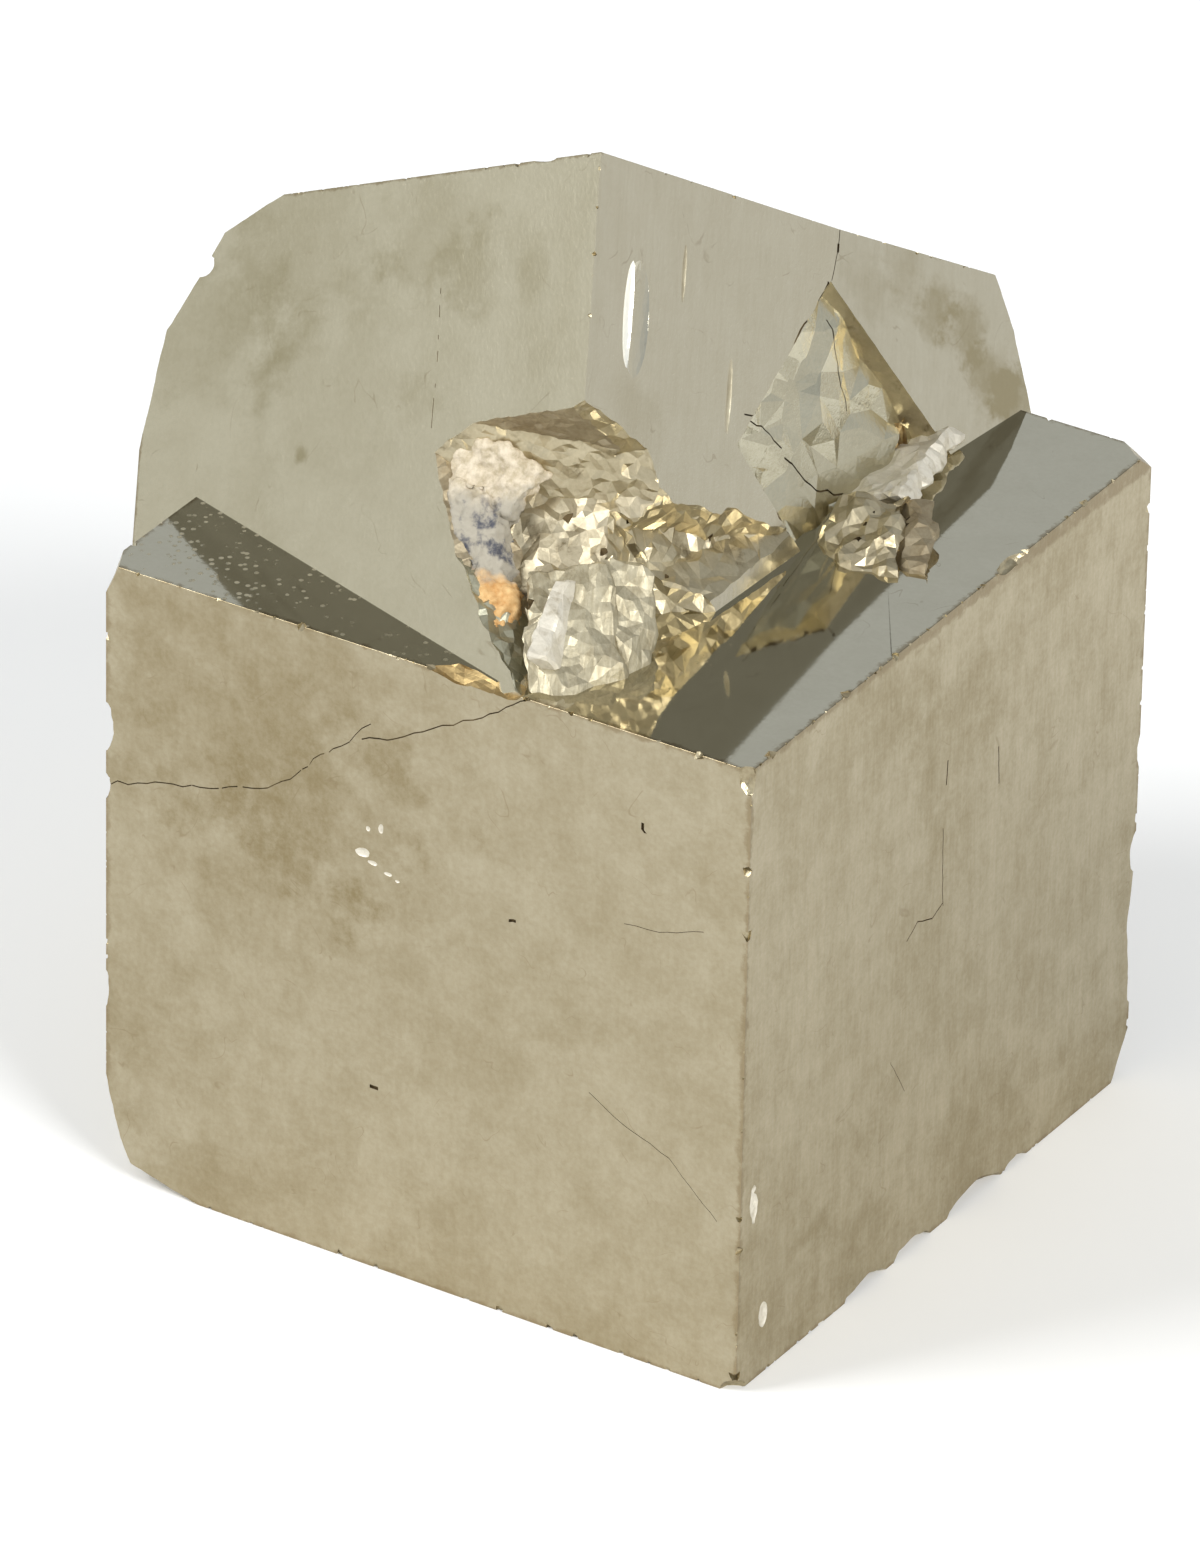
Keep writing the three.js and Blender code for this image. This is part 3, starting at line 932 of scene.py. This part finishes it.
for corners, material, height, share, grain in (
    (
        (
            (-5.6, 2.4, -24.2), (-1.6, 4.6, -23.4), (-4.4, 0.4, -28.6), (0.2, 4.4, -29.6),
            (-2.4, 0.0, -34), (0.4, 6.2, -32), (-6, 7, -24), (-4, 8, -34),
        ),
        fracture_smooth, 1.0, 0.05, 2.2,
    ),
    (
        (
            (-1.8, 4.9, -22.8), (0.2, 7.0, -23.8), (0.1, 5.2, -30), (0.3, 6.6, -31),
            (-2, 8, -24), (-3, 8, -32), (-1.4, 4.2, -26), (0.3, 7.4, -27.4),
        ),
        fracture_smooth, 1.0, 0.05, 2.0,
    ),
    # This narrow pale strip is a painted highlight that stands for the bright vertical streak on the
    # broken mass.
    (
        (
            (-3.5, 2.0, -24.8), (-2.7, 2.7, -24.6), (-3.1, -0.5, -29.9), (-2.0, 0.3, -29.9),
            (-3.4, 5, -24.9), (-2.6, 5, -24.9), (-3.0, 3, -31), (-2.0, 3, -31),
        ),
        pale_chip_and_highlight, 0.5, 0.05, 2.2,
    ),
):
    broken_lump(corners, material, height, share, grain)

# The scar on the right face is where a third small crystal broke away: a four-cornered
# pane, level with the face on the left and sunk behind a steep wall on the upper right.
panes = ((clouds(3.4 * mm, 1), 1.0 * mm), (clouds(0.9 * mm, 1), 0.22 * mm))
knife = ((clouds(1.0 * mm, 1), 0.08 * mm),)
scar = hollow_between(
    (
        (((-0.4, 20.9, -3.6), (-0.6, 13.9, -14.6), (-1.0, 20.2, -19.6)), fracture_pane, panes, 0.05),
        (((-0.5, 21.3, -4.0), (-0.6, 30, -10.5), (-0.7, 25, -19)), fracture_pane, panes, 0.05),
        (((0.2, 21.2, -3.2), (0.2, 13.6, -14.8), (-1, 21.4, -3.6)), fracture_pane, knife, 1.0),
        (((0.2, 13.6, -14.8), (0.2, 20, -20), (-1, 14.6, -14.9)), fracture_green, knife, 1.0),
        (((0.2, 21.2, -3.2), (0.9, 30.6, -10.2), (-1.4, 21.0, -3.6)), fracture_bright, knife, 1.0),
    ),
    (1.5, 22, -12),
)
combine(leaning, scar, "DIFFERENCE")
for route, half in (
    (((0, 21.0, -3.4), (0, 17.4, -9.1), (0, 13.8, -14.7)), (0.12, 0.08, 0.06)),
    (((0, 13.8, -14.7), (0, 16.9, -17.3), (0, 20.0, -19.8)), (0.12, 0.06, 0.08)),
    (((-0.4, 14.2, -12.8), (-0.4, 16.8, -12.9), (-0.5, 18.6, -13.9)), (0.6, 0.02, 0.05)),
    (((-0.6, 22.0, -5.4), (-0.6, 23.6, -8.4), (-0.7, 24.6, -10.4)), (0.7, 0.05, 0.02)),
    (((-0.6, 19.0, -14.4), (-0.6, 22.0, -15.8), (-0.6, 24.8, -15.4)), (0.7, 0.02, 0.06)),
):
    crack_along(leaning, route, half, crack_stain_and_shade, 0.15)
for middle, size, material in (
    ((-0.7, 29.4, -11.8), (0.9, 0.55, 2.1), rusty_chip),
    ((0.0, 31.9, -9.4), (0.45, 0.40, 0.26), crack_stain_and_shade),
    ((-0.1, 30.9, -9.9), (0.35, 0.30, 0.20), rusty_chip),
):
    combine(leaning, egg("socket", middle, size, material, 0.5), "DIFFERENCE")

# The stump of that third crystal is still fast below the scar: a bright chunk and a darker
# one side by side, the darker one painted brown as shade on the stump's right side, and a thin
# blade that runs up from them along the scar's edge, painted pale as a highlight.
for corners, material, height, share, grain in (
    (
        (
            (3.0, 20.4, -20.9), (1.0, 22.4, -16.2), (3.6, 25.2, -16.0), (4.6, 22.8, -18.4),
            (6.4, 21.9, -21.2), (-2, 20.6, -22), (-2, 27, -16), (2, 24, -27),
        ),
        fracture_bright, 2.0, 0.05, 2.0,
    ),
    # This chunk is painted brown as the shade on the stump's right side.
    (
        (
            (3.8, 25.2, -16.2), (4.8, 26.9, -15.6), (7.8, 22.8, -21.6), (5.8, 22.4, -20.4),
            (-2, 27, -16), (-2, 30, -18), (2, 24, -27), (3, 28, -24),
        ),
        fracture_stained_and_shaded, 1.4, 0.04, 2.0,
    ),
    # The pale blade is a painted highlight on the thin broken edge.
    (
        (
            (0.7, 32.2, -9.5), (1.0, 33.2, -10.4), (3.4, 26.2, -16.4), (3.0, 25.0, -15.8),
            (-1.5, 32, -9.8), (-1.5, 33, -11), (-1.5, 26.5, -16.8), (-1.5, 25, -15.5),
        ),
        pale_chip_and_highlight, 0.9, 0.05, 1.3,
    ),
):
    broken_lump(corners, material, height, share, grain)

# Dark crevices run all through the broken surfaces, between the bright facets: small nicks
# lined with a dark brown that is painted shade in these recesses. The two lines along the right
# side of the host rock paint the shadow that the rock casts.
nicked_edges(
    leaning,
    (
        ((-8.4, 3.0, -17.8), (-1.6, 6.6, -18.2), 1.4), ((-7.8, 2.6, -20.4), (-1.2, 6.6, -20.4), 1.4),
        ((-6.0, 3.0, -22.6), (-1.0, 6.4, -22.4), 1.4), ((-5.9, 2.4, -20.2), (-5.9, 1.6, -26), 1.6),
        ((-2.2, 5.0, -18.4), (-2.2, 8.0, -21.6), 1.2), ((-1.9, 8.0, -21.2), (-0.9, 15.0, -20.3), 1.4),
        ((-2.0, 8.2, -24), (-1.4, 12.4, -22), 1.2), ((3.2, 21, -20), (2.8, 23.6, -16.2), 1.8),
        ((5.2, 22.2, -20.2), (4.2, 25.2, -16.6), 1.8), ((-5.2, 1.6, -25.4), (-4.2, 0.4, -29.0), 1.6),
    ),
    crack_stain_and_shade, 41, 0.2, 0.55,
)

# Growth pits are natural marks on the right face: one long dimple in a wider trough, its
# inner part painted near white as a painted highlight, and two faint drawn-out ones.
painted_highlight_dimple = pyrite_face(
    "painted_highlight_dimple", (0.96, 0.94, 0.84), (0.80, 0.76, 0.62), 0.30,
    cover=0.3, patch_scale=400.0, patches=0.4, smudges=0.1, metal=0.7, turned=leaning_frame,
)
for middle, size, material in (
    ((0.17, 4.05, -9.15), (0.34, 1.30, 4.1), lean_right),
    ((0.30, 3.45, -9.0), (0.62, 0.66, 3.7), painted_highlight_dimple),
    ((0.16, 8.0, -5.6), (0.22, 0.26, 2.6), fracture_smooth),
    ((0.14, 12.7, -12.0), (0.20, 0.32, 3.2), fracture_smooth),
):
    combine(leaning, egg("pit", middle, size, material, 0.01), "DIFFERENCE")

# The sides that face away carry the same kind of natural marks: flat four-cornered pits 0.1
# to 0.2 mm deep, a few open cracks and a few bruises.
for piece, finish, pits in (
    (
        upright, face_hidden,
        (
            ((-45.3, 9, 20), (-44.90, 15, 31)), ((-45.3, 13, 27), (-44.84, 16, 36)),
            ((-45.3, 33, 8), (-44.90, 35, 13)),
            ((-14, 45.17, 11), (-11, 45.6, 25)), ((-17, 45.10, 19), (-12.5, 45.6, 26)),
            ((-33, 45.18, 6), (-31, 45.6, 12)),
        ),
    ),
    (
        leaning, lean_back,
        (
            ((-11, 12, -0.08), (-8, 27, 0.3)), ((-27, 24, -0.10), (-24.5, 34, 0.3)),
        ),
    ),
):
    for low, high in pits:
        pit = block("growth_pit", Vector(low) * mm, Vector(high) * mm)
        finish_as(pit, finish)
        combine(piece, pit, "DIFFERENCE")
for route, half in (
    (((-45, 40, 34), (-45, 36.5, 31.2), (-45, 33.4, 30.4), (-45, 30, 27.6)), (0.15, 0.02, 0.05)),
    (((-45, 22, 9), (-45, 20, 6.4), (-45, 19.4, 3.2)), (0.15, 0.04, 0.02)),
    (((-24, 45.28, 30), (-23.2, 45.28, 24), (-24.4, 45.28, 19.2)), (0.04, 0.15, 0.02)),
    (((-6, 45.28, 36), (-9, 45.28, 34.6), (-13.5, 45.28, 34.8)), (0.02, 0.15, 0.04)),
):
    crack_along(upright, route, half, crack_stain_and_shade, 0.12)
for middle, size in (
    ((-45.1, 0.2, 31), (0.7, 0.8, 1.8)), ((-45.2, 45.3, 20), (0.9, 0.9, 2.6)),
    ((-45.2, 24, 0.1), (1.0, 2.2, 0.9)), ((-26, 45.5, 0.1), (3.0, 1.0, 0.9)),
    ((-45.2, 18, 43.1), (0.8, 1.7, 0.6)),
):
    combine(upright, egg("bruise", middle, size, chipped), "DIFFERENCE")

# The whole pyrite body: the leaning cube goes in behind the front faces of the upright one,
# which has grown over it there, and the two are one crystal mass.
leaning.location = LEANING_CORNER
leaning.rotation_euler = LEANING_TURN
settle(leaning)
OVERGROWTH = 0.4
FAR_AWAY = 90
behind = block(
    "behind",
    Vector((-FAR_AWAY, OVERGROWTH, OVERGROWTH)) * mm,
    Vector((-OVERGROWTH, FAR_AWAY, FAR_AWAY)) * mm,
)
combine(leaning, behind, "INTERSECT")
combine(upright, leaning, "UNION")
crystals = upright
crystals.name = "pyrite_body"
crystals.location = FRONT_EDGE
settle(crystals)
alone(crystals)
bpy.ops.object.shade_flat()
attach(crystals, "root")
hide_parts("pyrite_crystals")

# The host rock is a chalky lump left in the left half of the hollow, where the crystals
# grew against it: cream above, blue-grey in the middle with darker spots, and rust at its
# lower tip. It is dull and crumbly, and grown fast to the pyrite.
rock_material = bpy.data.materials.new("chalky_rock")
rock_material.use_nodes = True
tree = rock_material.node_tree
shader = tree.nodes["Principled BSDF"]
shader.inputs["Roughness"].default_value = 0.9
place = add_node(
    tree,
    "ShaderNodeMapping",
    {
        "Vector": tree.nodes.new("ShaderNodeTexCoord").outputs["Object"],
        "Location": leaning_frame[0],
        "Rotation": leaning_frame[1],
    },
    vector_type="TEXTURE",
).outputs[0]
along = add_node(tree, "ShaderNodeSeparateXYZ", {0: place})
wander = maths(tree, "MULTIPLY", maths(tree, "SUBTRACT", cloudy(tree, place, 500.0), 0.5), 4 * mm)
height = maths(tree, "ADD", along.outputs[2], wander)
blue = between(tree, height, -18.6 * mm, -20.2 * mm)
rust = between(tree, height, -23.8 * mm, -25.0 * mm)
spots = between(tree, cloudy(tree, place, 520.0, 6.0, 0.65), 0.50, 0.64)
mottle = cloudy(tree, place, 1400.0, 5.0, 0.7)
cream = blended(tree, between(tree, mottle, 0.3, 0.7), (0.40, 0.335, 0.22), (0.66, 0.58, 0.45))
slate = blended(tree, spots, (0.36, 0.33, 0.265), (0.065, 0.068, 0.085))
ochre = blended(tree, between(tree, mottle, 0.3, 0.7), (0.48, 0.25, 0.08), (0.66, 0.44, 0.20))
colour = blended(tree, rust, blended(tree, blue, cream, slate), ochre)
tree.links.new(colour, shader.inputs["Base Color"])
bump = add_node(tree, "ShaderNodeBump", {"Height": mottle, "Distance": 0.15 * mm, "Strength": 1.0})
tree.links.new(bump.outputs[0], shader.inputs["Normal"])

ROCK_MESH = 0.13 * mm
ROCK_SHIFT = -0.7 * mm
rock = lump(
    "host_rock",
    (
        (-11.4, 0.5, -16.2), (-6.4, 1.2, -16.4), (-4.9, 2.9, -18.0), (-6.4, 2.0, -20.6),
        (-10.4, 0.5, -20.0), (-9, 5, -17), (-5, 6, -18), (-8, 5, -21),
    ),
)
for corners in (
    (
        (-10.5, 0.4, -18.6), (-7.6, 0.8, -18.6), (-6.9, 1.3, -21.4), (-6.8, 1.4, -23.8),
        (-7.4, 0.7, -25.4), (-9.0, 0.4, -22.6), (-8, 4, -20), (-6.5, 4, -24.5),
    ),
    (
        (-8.2, 0.3, -24.2), (-7.5, 0.3, -25.5), (-5.9, 0.6, -28.2), (-5.5, 1.8, -25.4),
        (-6.4, 1.8, -24.0), (-5.5, 3, -25.5), (-5.4, 2.4, -27.6), (-7, 3, -24.5),
    ),
):
    combine(rock, lump("lower_rock", corners), "UNION")
combine(rock, egg("dent", (-7.3, 0.2, -18.9), (1.2, 1.0, 0.9), rock_material, 0.2), "DIFFERENCE")
fine_mesh(rock, ROCK_MESH)
push_out(rock, clouds(2.0 * mm, 2), 1.3 * mm)
push_out(rock, clouds(0.5 * mm, 3), 0.4 * mm)
rock.data.materials.clear()
finish_as(rock, rock_material)
rock.location = (ROCK_SHIFT, 0, 0)
settle(rock)
rock.location = LEANING_CORNER
rock.rotation_euler = LEANING_TURN
settle(rock)
rock.location = FRONT_EDGE
settle(rock)
bpy.ops.object.shade_smooth()
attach(rock, "root")
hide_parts("matrix_remnant")

# The floor is a plain pale sheet, and the light is that of a light tent: an even pale
# surround with a darker ring high up and a pale top, and soft lamps at the front left and right.
FLOOR_SIZE = 3.0
bpy.ops.object.select_all(action="DESELECT")
bpy.ops.mesh.primitive_plane_add(size=FLOOR_SIZE, location=(0, 0, 0))
floor = bpy.context.active_object
floor.name = "floor"
paper = bpy.data.materials.new("pale_paper")
paper.use_nodes = True
paper.node_tree.nodes["Principled BSDF"].inputs["Base Color"].default_value = (0.86, 0.86, 0.855, 1)
paper.node_tree.nodes["Principled BSDF"].inputs["Roughness"].default_value = 0.9
floor.data.materials.append(paper)

scene = bpy.context.scene
world = bpy.data.worlds.new("light_tent")
scene.world = world
world.use_nodes = True
sky = world.node_tree
sky.nodes.clear()
aim = add_node(sky, "ShaderNodeSeparateXYZ", {0: sky.nodes.new("ShaderNodeTexCoord").outputs["Generated"]})
ramp = add_node(sky, "ShaderNodeValToRGB", {"Fac": aim.outputs[2]})
ramp.color_ramp.elements[0].position = 0.0
ramp.color_ramp.elements[0].color = (0.78, 0.77, 0.74, 1)
ramp.color_ramp.elements[1].position = 1.0
ramp.color_ramp.elements[1].color = (0.9, 0.9, 0.9, 1)
for height, colour in (
    (0.22, (0.75, 0.76, 0.76)),
    (0.46, (0.58, 0.62, 0.67)),
    (0.58, (0.56, 0.60, 0.64)),
    (0.66, (0.30, 0.31, 0.31)),
    (0.85, (0.30, 0.31, 0.31)),
):
    stop = ramp.color_ramp.elements.new(height)
    stop.color = (*colour, 1)
backdrop = add_node(sky, "ShaderNodeBackground", {"Color": ramp.outputs["Color"], "Strength": 1.0})
world_out = sky.nodes.new("ShaderNodeOutputWorld")
sky.links.new(backdrop.outputs[0], world_out.inputs["Surface"])


MIDDLE_OF_SPECIMEN = Vector((0, 0, 0.03))


def lamp(name, place, size, power):
    """A soft square lamp that faces the specimen."""
    bpy.ops.object.light_add(type="AREA", location=place)
    made_lamp = bpy.context.active_object
    made_lamp.name = name
    made_lamp.data.size = size
    made_lamp.data.energy = power
    aim_at = MIDDLE_OF_SPECIMEN - Vector(place)
    made_lamp.rotation_euler = aim_at.to_track_quat("-Z", "Y").to_euler()


lamp("front_left_lamp", (-0.9, -0.9, 1.1), 0.7, 20.0)
lamp("front_right_lamp", (1.2, -0.5, 0.9), 0.6, 19.0)

# The camera looks down on the front edge at 29.5 degrees from the right of the front, from
# 0.8 m away with a long lens, and is rolled by one degree.
CAMERA_AZIMUTH = math.radians(31.99)
CAMERA_ELEVATION = math.radians(29.50)
CAMERA_ROLL = math.radians(1.15)
CAMERA_PLACE = Vector((358.81, -590.91, 432.91)) * mm
CAMERA_LENS = 320.26
CAMERA_FRAME = 36.0
bpy.ops.object.camera_add()
camera = bpy.context.active_object
camera.name = "camera"
camera.data.lens = CAMERA_LENS
camera.data.sensor_width = CAMERA_FRAME
camera.data.clip_start = 0.05
camera.data.clip_end = 20.0
camera.matrix_world = (
    Matrix.Translation(CAMERA_PLACE + FRONT_EDGE)
    @ Matrix.Rotation(CAMERA_AZIMUTH, 4, "Z")
    @ Matrix.Rotation(math.pi / 2 - CAMERA_ELEVATION, 4, "X")
    @ Matrix.Rotation(CAMERA_ROLL, 4, "Z")
)
scene.camera = camera
scene.view_settings.view_transform = "Standard"
scene.view_settings.look = "None"
